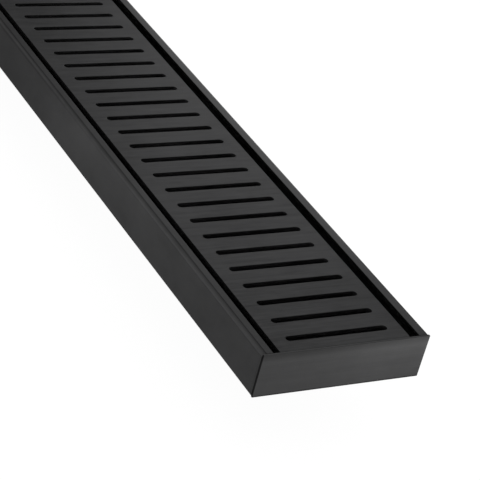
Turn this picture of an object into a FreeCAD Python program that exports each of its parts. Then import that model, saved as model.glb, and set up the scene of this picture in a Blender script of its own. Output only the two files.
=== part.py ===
"""Channel drain: a folded trough with welded ends, an outlet below and a slotted lift-out grate.

X runs across the channel, Y along it and Z up. The origin is the middle of the outlet's lower end.
"""
import FreeCAD, Part

import math
import os

# Overall sizes, in millimetres
CHANNEL_LENGTH = 900.0
CHANNEL_WIDTH = 100.0
CHANNEL_HEIGHT = 26.0
SHEET = 1.2

# Folds of the trough: outside radii, and the rim's width from the outer face to its cut edge
RIM_FOLD_RADIUS = 2.0
FLOOR_FOLD_RADIUS = 1.4
RIM_WIDTH = 6.2

# Broken edges of the end plates
PLATE_CORNER_CHAMFER = 0.4
PLATE_FACE_CHAMFER = 0.25
PLATE_SEAM_CHAMFER = 0.3

# Outlet tube, how far it stands below the floor, and the lip that seats it in the floor's hole
SPIGOT_RADIUS = 25.0
SPIGOT_WALL = 1.5
SPIGOT_DROP = 40.0
SPIGOT_LEAD_IN = 1.0
SPIGOT_LIP_RADIUS = SPIGOT_RADIUS + SHEET

# Strainer in the outlet, with square holes on a grid inside a round field
STRAINER_SHEET = 1.0
STRAINER_FLANGE_RADIUS = 29.0
STRAINER_CUP_RADIUS = 22.5
STRAINER_DEPTH = 11.0
STRAINER_HOLE = 4.5
STRAINER_PITCH = 7.0
STRAINER_FIELD_RADIUS = 16.0

# Grate
GRATE_WIDTH = 78.0
GRATE_THICKNESS = 3.0
GRATE_RECESS = 1.0
GRATE_END_GAP = 1.0
GRATE_CORNER_RADIUS = 1.0
SLOT_COUNT = 58
SLOT_LENGTH = 60.5
SLOT_WIDTH = 4.0
END_TO_FIRST_SLOT = 12.0

# Flat bars on edge under the grate, one just outside each end of the slots
BEARER_THICKNESS = 3.0
BEARER_TO_SLOT_END = 2.25
BEARER_END_INSET = 8.0

# Rubber shoes pushed over the bars' lower edges, standing on the floor
SHOE_COUNT = 6
SHOE_SPACING = 166.0
SHOE_LENGTH = 14.0
SHOE_BASE = 3.0
SHOE_WALL = 1.5
SHOE_GRIP = 4.0

# Levels, from the outlet's lower end upwards
FLOOR_UNDERSIDE = SPIGOT_DROP
FLOOR_TOP = FLOOR_UNDERSIDE + SHEET
RIM_TOP = FLOOR_UNDERSIDE + CHANNEL_HEIGHT
GRATE_TOP = RIM_TOP - GRATE_RECESS
GRATE_UNDERSIDE = GRATE_TOP - GRATE_THICKNESS
BEARER_UNDERSIDE = FLOOR_TOP + SHOE_BASE

# Places across and along the channel
TROUGH_END = CHANNEL_LENGTH / 2 - SHEET
GRATE_END = TROUGH_END - GRATE_END_GAP
FIRST_SLOT_Y = END_TO_FIRST_SLOT - CHANNEL_LENGTH / 2
SLOT_PITCH = -2 * FIRST_SLOT_Y / (SLOT_COUNT - 1)
BEARER_X = SLOT_LENGTH / 2 + BEARER_TO_SLOT_END + BEARER_THICKNESS / 2

LEFT = -1
RIGHT = 1
UP = FreeCAD.Vector(0, 0, 1)
ALONG = FreeCAD.Vector(0, 1, 0)


def save(shape, node):
    """Write one sub-part under its node's name."""
    shape.exportStep("parts/" + node + ".step")


def box_between(low, high):
    """An upright box between two opposite corners."""
    size = [b - a for a, b in zip(low, high)]
    return Part.makeBox(size[0], size[1], size[2], FreeCAD.Vector(*low))


def edges_along(shape, direction):
    """The shape's straight edges in one direction."""
    straight = [edge for edge in shape.Edges if isinstance(edge.Curve, Part.Line)]
    return [edge for edge in straight if abs(edge.Curve.Direction.dot(direction)) > 0.999]


def edges_in_plane(shape, y):
    """The shape's edges that lie in the plane across the channel at this y."""
    return [edge for edge in shape.Edges if all(abs(v.Y - y) < 1e-6 for v in edge.Vertexes)]


def rounded_line(points, radii):
    """Edges of a polyline with an arc of the given radius at each inner point."""
    edges = []
    start = points[0]
    for corner, after, radius in zip(points[1:-1], points[2:], radii):
        back = (start - corner).normalize()
        onward = (after - corner).normalize()
        half_angle = back.getAngle(onward) / 2
        setback = radius / math.tan(half_angle)
        bisector = (back + onward).normalize()
        centre = corner + bisector * (radius / math.sin(half_angle))
        arc_start = corner + back * setback
        arc_end = corner + onward * setback
        arc_middle = centre - bisector * radius
        edges.append(Part.LineSegment(start, arc_start).toShape())
        edges.append(Part.Arc(arc_start, arc_middle, arc_end).toShape())
        start = arc_end
    edges.append(Part.LineSegment(start, points[-1]).toShape())
    return edges


def folded_sheet(corners, thickness, outside_radii, y_low, y_high):
    """A sheet folded along Y, all its folds turning to the right of the path.

    The corners (x, z) are the sharp corners of the sheet's outer face, and the sheet lies to the
    right of the path through them.
    """
    outer = [FreeCAD.Vector(x, y_low, z) for x, z in corners]
    steps = [(b - a).normalize() for a, b in zip(outer, outer[1:])]
    normals = [FreeCAD.Vector(step.z, 0, -step.x) for step in steps]
    inner = [outer[0] + normals[0] * thickness]
    for corner, before, after in zip(outer[1:-1], normals, normals[1:]):
        inner.append(corner + (before + after) * (thickness / (1 + before.dot(after))))
    inner.append(outer[-1] + normals[-1] * thickness)
    inside_radii = [radius - thickness for radius in outside_radii]
    edges = rounded_line(outer, outside_radii)
    edges.append(Part.LineSegment(outer[-1], inner[-1]).toShape())
    edges += rounded_line(inner[::-1], inside_radii[::-1])
    edges.append(Part.LineSegment(inner[0], outer[0]).toShape())
    return Part.Face(Part.Wire(edges)).extrude(ALONG * (y_high - y_low))


def make_channel_body():
    """One sheet: rim, wall, floor, wall and rim, with the outlet's countersunk hole."""
    half = CHANNEL_WIDTH / 2
    lip = half - RIM_WIDTH
    corners = [
        (lip, RIM_TOP),
        (half, RIM_TOP),
        (half, FLOOR_UNDERSIDE),
        (-half, FLOOR_UNDERSIDE),
        (-half, RIM_TOP),
        (-lip, RIM_TOP),
    ]
    radii = (RIM_FOLD_RADIUS, FLOOR_FOLD_RADIUS, FLOOR_FOLD_RADIUS, RIM_FOLD_RADIUS)
    trough = folded_sheet(corners, SHEET, radii, -TROUGH_END, TROUGH_END)
    hole_base = FreeCAD.Vector(0, 0, FLOOR_UNDERSIDE)
    return trough.cut(Part.makeCone(SPIGOT_RADIUS, SPIGOT_LIP_RADIUS, SHEET, hole_base))


def make_end_plate(outer_y):
    """A flat plate welded over the trough's end, with its outer face at outer_y."""
    half = CHANNEL_WIDTH / 2
    inner_y = math.copysign(TROUGH_END, outer_y)
    low = (-half, min(outer_y, inner_y), FLOOR_UNDERSIDE)
    high = (half, max(outer_y, inner_y), RIM_TOP)
    plate = box_between(low, high)
    plate = plate.makeChamfer(PLATE_CORNER_CHAMFER, edges_along(plate, ALONG))
    plate = plate.makeChamfer(PLATE_SEAM_CHAMFER, edges_in_plane(plate, inner_y))
    return plate.makeChamfer(PLATE_FACE_CHAMFER, edges_in_plane(plate, outer_y))


def make_outlet_spigot():
    """A tube hung by its lip in the floor's hole, with a lead-in at its lower end."""
    bore = SPIGOT_RADIUS - SPIGOT_WALL
    profile = [
        FreeCAD.Vector(bore, 0, 0),
        FreeCAD.Vector(SPIGOT_RADIUS - SPIGOT_LEAD_IN, 0, 0),
        FreeCAD.Vector(SPIGOT_RADIUS, 0, SPIGOT_LEAD_IN),
        FreeCAD.Vector(SPIGOT_RADIUS, 0, FLOOR_UNDERSIDE),
        FreeCAD.Vector(SPIGOT_LIP_RADIUS, 0, FLOOR_TOP),
        FreeCAD.Vector(bore, 0, FLOOR_TOP),
        FreeCAD.Vector(bore, 0, 0),
    ]
    return Part.Face(Part.makePolygon(profile)).revolve(FreeCAD.Vector(), UP, 360)


def make_outlet_strainer():
    """A pressed cup with a flange on the floor and a grid of square holes in its bottom."""
    top = FLOOR_TOP + STRAINER_SHEET
    bottom = top - STRAINER_DEPTH
    inside_radius = STRAINER_CUP_RADIUS - STRAINER_SHEET
    inside_bottom = bottom + STRAINER_SHEET
    profile = [
        FreeCAD.Vector(0, 0, bottom),
        FreeCAD.Vector(STRAINER_CUP_RADIUS, 0, bottom),
        FreeCAD.Vector(STRAINER_CUP_RADIUS, 0, FLOOR_TOP),
        FreeCAD.Vector(STRAINER_FLANGE_RADIUS, 0, FLOOR_TOP),
        FreeCAD.Vector(STRAINER_FLANGE_RADIUS, 0, top),
        FreeCAD.Vector(inside_radius, 0, top),
        FreeCAD.Vector(inside_radius, 0, inside_bottom),
        FreeCAD.Vector(0, 0, inside_bottom),
        FreeCAD.Vector(0, 0, bottom),
    ]
    cup = Part.Face(Part.makePolygon(profile)).revolve(FreeCAD.Vector(), UP, 360)
    steps = int(STRAINER_FIELD_RADIUS // STRAINER_PITCH)
    places = [STRAINER_PITCH * step for step in range(-steps, steps + 1)]
    half = STRAINER_HOLE / 2
    holes = []
    for x in places:
        for y in places:
            if math.hypot(x, y) <= STRAINER_FIELD_RADIUS:
                low = (x - half, y - half, bottom)
                holes.append(box_between(low, (x + half, y + half, inside_bottom)))
    return cup.cut(Part.makeCompound(holes))


def slot_cutter(y):
    """A round-ended slot across the grate, through its whole thickness."""
    end_radius = SLOT_WIDTH / 2
    straight_end = SLOT_LENGTH / 2 - end_radius
    near_left = FreeCAD.Vector(-straight_end, y - end_radius, GRATE_UNDERSIDE)
    near_right = FreeCAD.Vector(straight_end, y - end_radius, GRATE_UNDERSIDE)
    far_right = FreeCAD.Vector(straight_end, y + end_radius, GRATE_UNDERSIDE)
    far_left = FreeCAD.Vector(-straight_end, y + end_radius, GRATE_UNDERSIDE)
    left_tip = FreeCAD.Vector(-SLOT_LENGTH / 2, y, GRATE_UNDERSIDE)
    right_tip = FreeCAD.Vector(SLOT_LENGTH / 2, y, GRATE_UNDERSIDE)
    edges = [
        Part.LineSegment(near_left, near_right).toShape(),
        Part.Arc(near_right, right_tip, far_right).toShape(),
        Part.LineSegment(far_right, far_left).toShape(),
        Part.Arc(far_left, left_tip, near_left).toShape(),
    ]
    return Part.Face(Part.Wire(edges)).extrude(UP * GRATE_THICKNESS)


def make_grate_plate():
    """A flat plate with one row of equal slots, spaced evenly from end to end."""
    half_width = GRATE_WIDTH / 2
    low = (-half_width, -GRATE_END, GRATE_UNDERSIDE)
    plate = box_between(low, (half_width, GRATE_END, GRATE_TOP))
    plate = plate.makeFillet(GRATE_CORNER_RADIUS, edges_along(plate, UP))
    slots = [slot_cutter(FIRST_SLOT_Y + index * SLOT_PITCH) for index in range(SLOT_COUNT)]
    return plate.cut(Part.makeCompound(slots))


def make_grate_bearer(side):
    """A flat bar on edge, welded along the underside of the plate."""
    centre = side * BEARER_X
    half_thickness = BEARER_THICKNESS / 2
    half_length = GRATE_END - BEARER_END_INSET
    low = (centre - half_thickness, -half_length, BEARER_UNDERSIDE)
    return box_between(low, (centre + half_thickness, half_length, GRATE_UNDERSIDE))


def make_bearer_shoe(side, y):
    """A rubber shoe: a block on the floor, with a groove that grips the bar's lower edge."""
    centre = side * BEARER_X
    half_length = SHOE_LENGTH / 2
    half_grip = BEARER_THICKNESS / 2
    half_width = half_grip + SHOE_WALL
    shoe_top = BEARER_UNDERSIDE + SHOE_GRIP
    block_low = (centre - half_width, y - half_length, FLOOR_TOP)
    block = box_between(block_low, (centre + half_width, y + half_length, shoe_top))
    groove_low = (centre - half_grip, y - half_length, BEARER_UNDERSIDE)
    groove = box_between(groove_low, (centre + half_grip, y + half_length, shoe_top))
    return block.cut(groove)


def main():
    os.makedirs("parts", exist_ok=True)
    save(make_channel_body(), "channel_body")
    save(make_end_plate(-CHANNEL_LENGTH / 2), "end_plate_near")
    save(make_end_plate(CHANNEL_LENGTH / 2), "end_plate_far")
    save(make_outlet_spigot(), "outlet_spigot")
    save(make_outlet_strainer(), "outlet_strainer")
    save(make_grate_plate(), "grate_plate")
    for side, name in ((LEFT, "left"), (RIGHT, "right")):
        save(make_grate_bearer(side), "grate_bearer_" + name)
        for index in range(SHOE_COUNT):
            y = SHOE_SPACING * (index - (SHOE_COUNT - 1) / 2)
            save(make_bearer_shoe(side, y), "bearer_shoe_%s_%d" % (name, index + 1))


main()
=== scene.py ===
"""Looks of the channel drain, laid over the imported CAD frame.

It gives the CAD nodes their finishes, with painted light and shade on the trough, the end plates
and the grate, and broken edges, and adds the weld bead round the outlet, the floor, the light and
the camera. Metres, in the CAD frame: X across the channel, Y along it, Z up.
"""

import math

import bmesh
import bpy
from mathutils import Matrix, Vector


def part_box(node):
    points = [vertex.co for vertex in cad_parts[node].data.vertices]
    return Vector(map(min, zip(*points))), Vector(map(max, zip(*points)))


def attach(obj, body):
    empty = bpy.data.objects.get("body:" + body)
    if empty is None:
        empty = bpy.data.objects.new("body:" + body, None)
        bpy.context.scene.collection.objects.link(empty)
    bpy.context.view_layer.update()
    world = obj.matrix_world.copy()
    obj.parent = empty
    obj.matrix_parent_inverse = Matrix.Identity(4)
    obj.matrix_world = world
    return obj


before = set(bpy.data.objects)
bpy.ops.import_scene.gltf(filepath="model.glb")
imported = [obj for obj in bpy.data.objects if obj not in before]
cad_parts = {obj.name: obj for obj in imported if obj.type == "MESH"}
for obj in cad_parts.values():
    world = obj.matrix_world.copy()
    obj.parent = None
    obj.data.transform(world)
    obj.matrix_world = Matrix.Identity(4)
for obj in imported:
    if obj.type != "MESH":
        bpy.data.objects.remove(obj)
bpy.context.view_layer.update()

MM = 0.001
MM_PER_METRE = 1000.0
WHITE = (1.0, 1.0, 1.0, 1.0)

# ---------------------------------------------------------------- places, read from the frame
channel_low, channel_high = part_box("channel_body")
grate_low, grate_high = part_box("grate_plate")
SPIGOT_LIP = 1.2 * MM  # how far the spigot's lip stands past its tube
tube_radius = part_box("outlet_spigot")[1].x - SPIGOT_LIP

# ---------------------------------------------------------------- shader helpers


class Shader:
    """A material's node tree, with short calls for the nodes used here."""

    def __init__(self, name):
        self.material = bpy.data.materials.new(name)
        self.material.use_nodes = True
        self.tree = self.material.node_tree
        self.tree.nodes.clear()
        self.output = self.node("ShaderNodeOutputMaterial")

    def node(self, kind, **settings):
        made = self.tree.nodes.new(kind)
        for key, value in settings.items():
            setattr(made, key, value)
        return made

    def put(self, socket, value):
        """Sets a socket to a value, or links an output to it."""
        if isinstance(value, bpy.types.NodeSocket):
            self.tree.links.new(value, socket)
        else:
            socket.default_value = value

    def place(self):
        """A point's place on its object. A CAD node's object sits at the frame's origin."""
        return self.node("ShaderNodeTexCoord").outputs["Object"]

    def component(self, vector, axis):
        split = self.node("ShaderNodeSeparateXYZ")
        self.put(split.inputs[0], vector)
        return split.outputs[axis]

    def math(self, operation, *values):
        made = self.node("ShaderNodeMath", operation=operation)
        for socket, value in zip(made.inputs, values):
            self.put(socket, value)
        return made.outputs[0]

    def blend(self, a, share_a, b, share_b):
        """The sum of two values' shares."""
        return self.math(
            "ADD", self.math("MULTIPLY", a, share_a), self.math("MULTIPLY", b, share_b)
        )

    def noise(self, place, scale, detail=3.0, roughness=0.5):
        """Noise from 0 to 1, whose cells are 1/scale long in each direction."""
        stretched = self.node("ShaderNodeVectorMath", operation="MULTIPLY")
        self.put(stretched.inputs[0], place)
        self.put(stretched.inputs[1], scale)
        made = self.node("ShaderNodeTexNoise")
        self.put(made.inputs["Vector"], stretched.outputs[0])
        self.put(made.inputs["Scale"], 1.0)
        self.put(made.inputs["Detail"], detail)
        self.put(made.inputs["Roughness"], roughness)
        return made.outputs["Fac"]

    def ranged(self, value, source, target, smooth=False):
        """Carries a value from one range to another, and stops at its ends."""
        made = self.node("ShaderNodeMapRange")
        made.interpolation_type = "SMOOTHSTEP" if smooth else "LINEAR"
        self.put(made.inputs["Value"], value)
        for key, number in zip(("From Min", "From Max", "To Min", "To Max"), (*source, *target)):
            self.put(made.inputs[key], number)
        return made.outputs["Result"]

    def mixed(self, factor, a, b):
        made = self.node("ShaderNodeMix", data_type="RGBA")
        self.put(made.inputs["Factor"], factor)
        self.put(made.inputs["A"], a)
        self.put(made.inputs["B"], b)
        return made.outputs["Result"]

    def relief(self, height, strength, depth):
        bump = self.node("ShaderNodeBump")
        self.put(bump.inputs["Strength"], strength)
        self.put(bump.inputs["Distance"], depth)
        self.put(bump.inputs["Height"], height)
        return bump.outputs["Normal"]

    def principled(self, **inputs):
        """Ends the material in a Principled BSDF. In an input's name, _ stands for a space."""
        shader = self.node("ShaderNodeBsdfPrincipled")
        for name, value in inputs.items():
            self.put(shader.inputs[name.replace("_", " ")], value)
        self.put(self.output.inputs["Surface"], shader.outputs["BSDF"])
        return self.material


def cells(size):
    """The noise scale for cells of one size in mm, the same in all directions."""
    return [MM_PER_METRE / size] * 3


def long_cells(across, along, axis):
    """The noise scale for cells whose width and length are in mm, with the length along an axis."""
    scale = cells(across)
    scale["XYZ".index(axis)] = MM_PER_METRE / along
    return scale


# ---------------------------------------------------------------- brushed metal
FINE_HAIR = (0.22, 16.0)  # width and length of a scratch, in mm
COARSE_HAIR = (0.6, 15.0)
BAND = (2.4, 130.0)
CLOUD = 38.0
SMEAR = 7.0
HAIR_SHARE, BAND_SHARE = 0.7, 0.3
CLOUD_SHARE, SMEAR_SHARE = 0.6, 0.4
LINES_RANGE = (0.30, 0.70)  # where nearly all of the noise's values lie
UNEVEN_RANGE = (0.35, 0.65)
ROUGHNESS_OF_LINES = 0.05  # how much they add to the roughness, or take off it
ROUGHNESS_OF_UNEVEN = 0.03
SCRATCH_STRENGTH, SCRATCH_DEPTH = 0.25, 0.01 * MM
EDGE_TINT = (0.5, 0.5, 0.5, 1)


def brushed(name, along, tone, roughness, contrast=0.10, blotch=0.07, hair=FINE_HAIR, marks=()):
    """Satin metal with fine scratches along an axis, in its tone, roughness and relief.

    Contrast is how much the scratches change the tone, and blotch how much the clouds do. Each
    mark is a mask and the factor on the tone where it is 1.
    """
    s = Shader(name)
    place = s.place()
    hairs = s.noise(place, long_cells(*hair, along), roughness=0.7)
    bands = s.noise(place, long_cells(*BAND, along), roughness=0.6)
    clouds = s.noise(place, cells(CLOUD))
    smears = s.noise(place, cells(SMEAR), detail=4.0, roughness=0.6)
    lines = s.blend(hairs, HAIR_SHARE, bands, BAND_SHARE)
    uneven = s.blend(clouds, CLOUD_SHARE, smears, SMEAR_SHARE)

    level = s.math(
        "ADD",
        s.ranged(lines, LINES_RANGE, (1 - contrast, 1 + contrast)),
        s.ranged(uneven, UNEVEN_RANGE, (-blotch, blotch)),
    )
    for mask, factor in marks:
        level = s.math("MULTIPLY", level, s.ranged(mask(s, place), (0.0, 1.0), (1.0, factor)))
    colour = s.node("ShaderNodeVectorMath", operation="SCALE")
    s.put(colour.inputs[0], tone)
    s.put(colour.inputs["Scale"], level)

    rough = s.math(
        "ADD",
        s.ranged(
            lines, LINES_RANGE, (roughness - ROUGHNESS_OF_LINES, roughness + ROUGHNESS_OF_LINES)
        ),
        s.ranged(uneven, UNEVEN_RANGE, (-ROUGHNESS_OF_UNEVEN, ROUGHNESS_OF_UNEVEN)),
    )
    return s.principled(
        Base_Color=colour.outputs[0],
        Metallic=1.0,
        Specular_Tint=EDGE_TINT,
        Roughness=rough,
        Normal=s.relief(lines, SCRATCH_STRENGTH, SCRATCH_DEPTH),
    )


# ---------------------------------------------------------------- moulded rubber
RUBBER_GRAIN = 0.5  # cell sizes, in mm
RUBBER_BLOOM = 6.0
RUBBER_BLACK = (0.012, 0.012, 0.012, 1)
RUBBER_DUSTY = (0.030, 0.030, 0.029, 1)
GRAIN_RANGE = (0.3, 0.7)
BLOOM_RANGE = (0.35, 0.7)
RUBBER_ROUGHNESS = (0.65, 0.85)
GRAIN_STRENGTH, GRAIN_DEPTH = 0.4, 0.05 * MM


def moulded_rubber(name):
    """Matt black rubber with a fine mould grain and a dusty bloom."""
    s = Shader(name)
    place = s.place()
    grain = s.noise(place, cells(RUBBER_GRAIN))
    bloom = s.noise(place, cells(RUBBER_BLOOM))
    return s.principled(
        Base_Color=s.mixed(s.ranged(bloom, BLOOM_RANGE, (0.0, 1.0)), RUBBER_BLACK, RUBBER_DUSTY),
        Roughness=s.ranged(grain, GRAIN_RANGE, RUBBER_ROUGHNESS),
        Normal=s.relief(grain, GRAIN_STRENGTH, GRAIN_DEPTH),
    )


# ---------------------------------------------------------------- masks of places on the metal
# A mask takes a shader and a place, and gives 1 on the places it names and 0 off them. Distances
# are from the middle plane of an axis, on both its sides.


def from_middle(s, place, axis):
    return s.math("ABSOLUTE", s.component(place, axis))


def beyond(axis, at, soft, smooth=True):
    """Farther out than a distance, with a fade as wide as soft just inside it."""
    return lambda s, place: s.ranged(
        from_middle(s, place, axis), (at - soft, at), (0.0, 1.0), smooth
    )


def within(axis, at, soft, smooth=True):
    """Nearer than a distance, with a fade as wide as soft just outside it."""
    return lambda s, place: s.ranged(
        from_middle(s, place, axis), (at, at + soft), (1.0, 0.0), smooth
    )


def band(axis, at, half_width, soft):
    """Within half_width of a distance, with a fade as wide as soft on both sides."""

    def mask(s, place):
        off = s.math("ABSOLUTE", s.math("SUBTRACT", from_middle(s, place, axis), at))
        return s.ranged(off, (half_width, half_width + soft), (1.0, 0.0), smooth=True)

    return mask


def on_left(s, place):
    """The half of the channel at negative X, whose rim gets a further painted shade."""
    return s.ranged(s.component(place, "X"), (-1.0 * MM, 1.0 * MM), (1.0, 0.0))


def meeting(*masks):
    """Where all the masks meet."""

    def mask(s, place):
        met = masks[0](s, place)
        for other in masks[1:]:
            met = s.math("MULTIPLY", met, other(s, place))
        return met

    return mask


side, end, top = channel_high
foot = channel_low.z

# The rims' top faces, darker on the tone: a painted shade
rim = beyond("Z", at=top - 0.05 * MM, soft=0.3 * MM)
# The left rim's top, darker still: a painted shade on one side
left_rim_painted_shade = meeting(on_left, rim)
# The line where the left rim's fold starts, drawn dark: a painted line of shade
bend_line_painted_shade = meeting(
    on_left,
    band("X", at=side - 2.2 * MM, half_width=0.18 * MM, soft=0.22 * MM),
    beyond("Z", at=top - 0.6 * MM, soft=0.3 * MM),
)
# The outer folds of both rims, lighter on the tone: a painted highlight
fold = meeting(
    beyond("X", at=side - 1.6 * MM, soft=0.3 * MM),
    beyond("Z", at=top - 0.6 * MM, soft=0.5 * MM),
)
# A band on the outer walls just below the folds, darker: a painted line of shade
fold_foot_painted_shade = meeting(
    beyond("X", at=side - 1.0 * MM, soft=0.3 * MM),
    band("Z", at=top - 1.5 * MM, half_width=0.4 * MM, soft=0.5 * MM),
)
# Next to the end plates, darker: painted shade of the seam with the plates
trough_end_painted_shade = beyond("Y", at=end - 1.1 * MM, soft=0.8 * MM)
# The lowest edge, darker on the trough and the end plates: a painted shade
lowest_edge_painted_shade = within("Z", at=foot + 0.5 * MM, soft=1.0 * MM)
# The upper part of the trough's side walls, on their inner faces, lighter: painted light
inner_side_painted_light = meeting(
    within("X", at=side - 1.15 * MM, soft=0.15 * MM, smooth=False),
    within("Z", at=top - 1.3 * MM, soft=0.2 * MM, smooth=False),
    beyond("Z", at=foot + 14.0 * MM, soft=6.0 * MM, smooth=False),
)
# The end plates' upright outer corners, darker: painted shade of the seam with the trough
plate_corner_painted_shade = meeting(
    beyond("X", at=side - 0.1 * MM, soft=0.4 * MM),
    beyond("Y", at=end - 0.2 * MM, soft=0.4 * MM),
)
# The end plates' upper part, darker towards the top: a painted shade
plate_top_painted_shade = beyond("Z", at=top - 0.2 * MM, soft=5.0 * MM)
# The grate's slot walls, lighter: painted light
slot_wall_painted_light = meeting(
    within("Z", at=grate_high.z - 0.5 * MM, soft=0.2 * MM),
    beyond("Z", at=grate_low.z + 0.1 * MM, soft=0.1 * MM),
)

# ---------------------------------------------------------------- finishes of the CAD nodes
# Linear tones, fitted to the photo's
OUTLET_TONE = BEARER_TONE = (0.033, 0.033, 0.0335)
GRATE_TONE = (0.030, 0.030, 0.0305)
TROUGH_TONE = (0.041, 0.041, 0.0415)
# The end plates' tone, lighter than the trough's sheet: a painted light on the end face
PLATE_TONE_WITH_PAINTED_LIGHT = (0.055, 0.055, 0.0555)
BARE_TONE = (0.45, 0.45, 0.44)

# The marks below paint light and shade on the tones, as each mask's comment says
TROUGH_MARKS = (
    (rim, 0.86),
    (left_rim_painted_shade, 0.88),
    (fold, 1.08),
    (fold_foot_painted_shade, 0.80),
    (bend_line_painted_shade, 0.38),
    (trough_end_painted_shade, 0.9),
    (lowest_edge_painted_shade, 0.8),
    (inner_side_painted_light, 4.5),
)
PLATE_MARKS = (
    (plate_corner_painted_shade, 0.2),
    (plate_top_painted_shade, 0.67),
    (lowest_edge_painted_shade, 0.55),
)
GRATE_MARKS = ((slot_wall_painted_light, 2.6),)

trough_finish = brushed(
    "trough_brushed", "Y", TROUGH_TONE, roughness=0.38, blotch=0.11, marks=TROUGH_MARKS
)
plate_finish = brushed("end_plate_brushed", "X", PLATE_TONE_WITH_PAINTED_LIGHT, roughness=0.38, marks=PLATE_MARKS)
grate_finish = brushed(
    "grate_brushed", "X", GRATE_TONE, roughness=0.40,
    contrast=0.36, blotch=0.12, hair=COARSE_HAIR, marks=GRATE_MARKS,
)
outlet_finish = brushed("outlet_brushed", "Z", OUTLET_TONE, roughness=0.40)
strainer_finish = brushed("strainer_brushed", "X", BARE_TONE, roughness=0.30)
shoe_finish = moulded_rubber("shoe_rubber_moulded")
bearer_finish = brushed("bearer_brushed", "Y", BEARER_TONE, roughness=0.45)

FINISH_OF = {
    "channel_body": trough_finish,
    "end_plate_near": plate_finish,
    "end_plate_far": plate_finish,
    "grate_plate": grate_finish,
    "grate_bearer_left": bearer_finish,
    "grate_bearer_right": bearer_finish,
    "outlet_spigot": outlet_finish,
    "outlet_strainer": strainer_finish,
}
for name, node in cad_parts.items():
    node.material_slots[0].material = FINISH_OF.get(name, shoe_finish)

# ---------------------------------------------------------------- broken edges
# The end plates aren't here, because the CAD has their chamfers.
EDGE_WIDTH = {
    "grate_plate": 0.22 * MM,
    "grate_bearer_left": 0.25 * MM,
    "grate_bearer_right": 0.25 * MM,
    "channel_body": 0.12 * MM,
    "outlet_spigot": 0.20 * MM,
    "outlet_strainer": 0.12 * MM,
}
SHOE_EDGE_WIDTH = 0.3 * MM
EDGE_SEGMENTS = 2
SAME_POINT = 0.001 * MM
SAME_PLANE = math.radians(1)
SHARP_EDGE = math.radians(35)
NORMAL_WEIGHT = 50


def break_edges(piece, width):
    """Joins the mesh's split corners and flat triangles, then rounds its sharp edges a little."""
    weld = piece.modifiers.new("joined_corners", "WELD")
    weld.merge_threshold = SAME_POINT
    flat = piece.modifiers.new("whole_faces", "DECIMATE")
    flat.decimate_type = "DISSOLVE"
    flat.angle_limit = SAME_PLANE
    bevel = piece.modifiers.new("broken_edges", "BEVEL")
    bevel.limit_method = "ANGLE"
    bevel.angle_limit = SHARP_EDGE
    bevel.width = width
    bevel.segments = EDGE_SEGMENTS
    bevel.use_clamp_overlap = False
    bevel.loop_slide = False  # sliding along the slots' ends would fold faces over
    bevel.face_strength_mode = "FSTR_ALL"
    normals = piece.modifiers.new("flat_faces", "WEIGHTED_NORMAL")
    normals.keep_sharp = False
    normals.use_face_influence = True
    normals.weight = NORMAL_WEIGHT


for name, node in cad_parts.items():
    if not name.startswith("end_plate"):
        break_edges(node, EDGE_WIDTH.get(name, SHOE_EDGE_WIDTH))

# ---------------------------------------------------------------- weld bead round the outlet
BEAD_LEG = 1.9 * MM
BEAD_SINK = 0.15 * MM  # how far its corner lies inside the tube and the sheet
BEAD_RIPPLES = 96
BEAD_STEPS_PER_RIPPLE = 4
BEAD_PROFILE_STEPS = 6
BEAD_RIPPLE_DEPTH = 0.10  # these are parts of the leg
BEAD_CROWN = 0.12
BEAD_SWAY = ((0.05, 5, 0.0), (0.03, 13, 1.0))  # part of the leg, waves round the ring, phase
BEAD_HOLLOW = 1.3  # the power on the profile's sine and cosine, which are a round arc at 1


def weld_ring(name, radius, above):
    """A rippled fillet bead in the corner between a tube and the sheet above it."""
    mesh = bmesh.new()
    rings = []
    steps = BEAD_RIPPLES * BEAD_STEPS_PER_RIPPLE
    for step in range(steps):
        angle = 2 * math.pi * step / steps
        ripple = (step % BEAD_STEPS_PER_RIPPLE) / BEAD_STEPS_PER_RIPPLE
        sway = sum(part * math.sin(waves * angle + phase) for part, waves, phase in BEAD_SWAY)
        leg = BEAD_LEG * (1 + sway - BEAD_RIPPLE_DEPTH * ripple)
        corner = (radius - BEAD_SINK, above + BEAD_SINK)
        profile = [corner]
        for stop in range(BEAD_PROFILE_STEPS + 1):
            turn = math.pi / 2 * stop / BEAD_PROFILE_STEPS
            crown = 1 + BEAD_CROWN * math.sin(2 * turn)
            across = leg * math.cos(turn) ** BEAD_HOLLOW * crown
            down = leg * math.sin(turn) ** BEAD_HOLLOW * crown
            profile.append((corner[0] + across, corner[1] - down))
        rings.append([
            mesh.verts.new((out * math.cos(angle), out * math.sin(angle), height))
            for out, height in profile
        ])
    for first, second in zip(rings, rings[1:] + rings[:1]):
        for i in range(len(first)):
            j = (i + 1) % len(first)
            face = mesh.faces.new((first[i], first[j], second[j], second[i]))
            face.smooth = True
    bmesh.ops.recalc_face_normals(mesh, faces=mesh.faces)
    data = bpy.data.meshes.new(name)
    mesh.to_mesh(data)
    mesh.free()
    piece = bpy.data.objects.new(name, data)
    bpy.context.scene.collection.objects.link(piece)
    return piece


bead = weld_ring("outlet_weld_bead", tube_radius, foot)
bead.data.materials.append(outlet_finish)
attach(bead, "root")

# ---------------------------------------------------------------- floor and surroundings
FLOOR_SIZE = 40.0
FLOOR_DROP = 0.3 * MM
FLOOR_TONE = (0.07, 0.07, 0.07, 1)
FLOOR_GLOW = 0.95  # to the camera and in reflections, where 1 is white
WORLD_STRENGTH = 1.0

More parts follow.
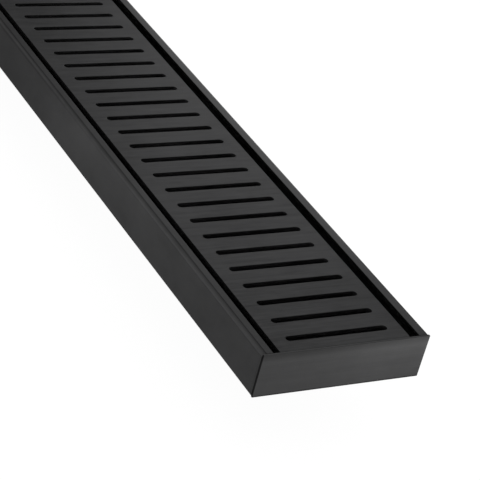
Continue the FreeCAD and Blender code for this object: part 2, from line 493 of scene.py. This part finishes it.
half = FLOOR_SIZE / 2
floor_mesh = bpy.data.meshes.new("studio_floor")
floor_mesh.from_pydata(
    [(x * half, y * half, -FLOOR_DROP) for x, y in ((-1, -1), (1, -1), (1, 1), (-1, 1))],
    [],
    [(0, 1, 2, 3)],
)
floor = bpy.data.objects.new("studio_floor", floor_mesh)
bpy.context.scene.collection.objects.link(floor)

paper = Shader("studio_floor_white")
rays = paper.node("ShaderNodeLightPath").outputs
seen = paper.math("MAXIMUM", rays["Is Camera Ray"], rays["Is Glossy Ray"])
seen = paper.math("MAXIMUM", seen, rays["Is Transmission Ray"])
diffuse = paper.node("ShaderNodeBsdfDiffuse")
paper.put(diffuse.inputs["Color"], FLOOR_TONE)
glow = paper.node("ShaderNodeEmission")
paper.put(glow.inputs["Color"], WHITE)
paper.put(glow.inputs["Strength"], paper.math("MULTIPLY", seen, FLOOR_GLOW))
both = paper.node("ShaderNodeAddShader")
paper.put(both.inputs[0], diffuse.outputs["BSDF"])
paper.put(both.inputs[1], glow.outputs["Emission"])
paper.put(paper.output.inputs["Surface"], both.outputs["Shader"])
floor_mesh.materials.append(paper.material)

world = bpy.data.worlds.new("studio")
bpy.context.scene.world = world
world.use_nodes = True
background = world.node_tree.nodes["Background"]
background.inputs["Color"].default_value = WHITE
background.inputs["Strength"].default_value = WORLD_STRENGTH

# ---------------------------------------------------------------- lamps
SEEN_MIDDLE = (0.0, -0.28, 0.05)  # the middle of what the photo shows


def softbox(name, place, aim, size, watts):
    """A square area lamp that lights the object without being seen itself."""
    lamp = bpy.data.lights.new(name, "AREA")
    lamp.size = size
    lamp.energy = watts
    made = bpy.data.objects.new(name, lamp)
    made.visible_camera = False
    bpy.context.scene.collection.objects.link(made)
    facing = (Vector(aim) - Vector(place)).to_track_quat("-Z", "Y").to_matrix().to_4x4()
    made.matrix_world = Matrix.Translation(place) @ facing


# The two behind light the grate and the rims, and the two low ones the long side and the end.
softbox("softbox_behind", (0.83, 0.71, 0.23), SEEN_MIDDLE, size=0.40, watts=1.96)
softbox("softbox_behind_near", (0.48, 0.30, 0.32), SEEN_MIDDLE, size=0.40, watts=0.92)
softbox("softbox_left", (-0.16, -0.25, 0.004), (-0.05, -0.31, 0.053), size=0.25, watts=0.183)
softbox("softbox_front_right", (0.115, -0.545, 0.004), (0.05, -0.45, 0.053), size=0.12, watts=0.133)

# ---------------------------------------------------------------- camera
# Fitted to the object's lines in the photo
CAMERA_AIM = Vector((-0.01167, -0.35289, top))
CAMERA_DISTANCE = 1.06191
CAMERA_AZIMUTH = math.radians(35.8768)
CAMERA_ELEVATION = math.radians(30.4324)
CAMERA_ROLL = math.radians(15.1872)
CAMERA_LENS_MM = 150.4421
CAMERA_SENSOR_MM = 36.0
CAMERA_CLIP = (0.05, 100.0)

camera_data = bpy.data.cameras.new("camera")
camera_data.sensor_width = CAMERA_SENSOR_MM
camera_data.lens = CAMERA_LENS_MM
camera_data.clip_start, camera_data.clip_end = CAMERA_CLIP
camera = bpy.data.objects.new("camera", camera_data)
bpy.context.scene.collection.objects.link(camera)
towards_camera = Vector((
    -math.sin(CAMERA_AZIMUTH) * math.cos(CAMERA_ELEVATION),
    -math.cos(CAMERA_AZIMUTH) * math.cos(CAMERA_ELEVATION),
    math.sin(CAMERA_ELEVATION),
))
facing = towards_camera.to_track_quat("Z", "Y").to_matrix()
rolled = (facing @ Matrix.Rotation(CAMERA_ROLL, 3, "Z")).to_4x4()
camera.matrix_world = (
    Matrix.Translation(CAMERA_AIM + towards_camera * CAMERA_DISTANCE) @ rolled
)
bpy.context.scene.camera = camera

bpy.context.scene.view_settings.view_transform = "Standard"
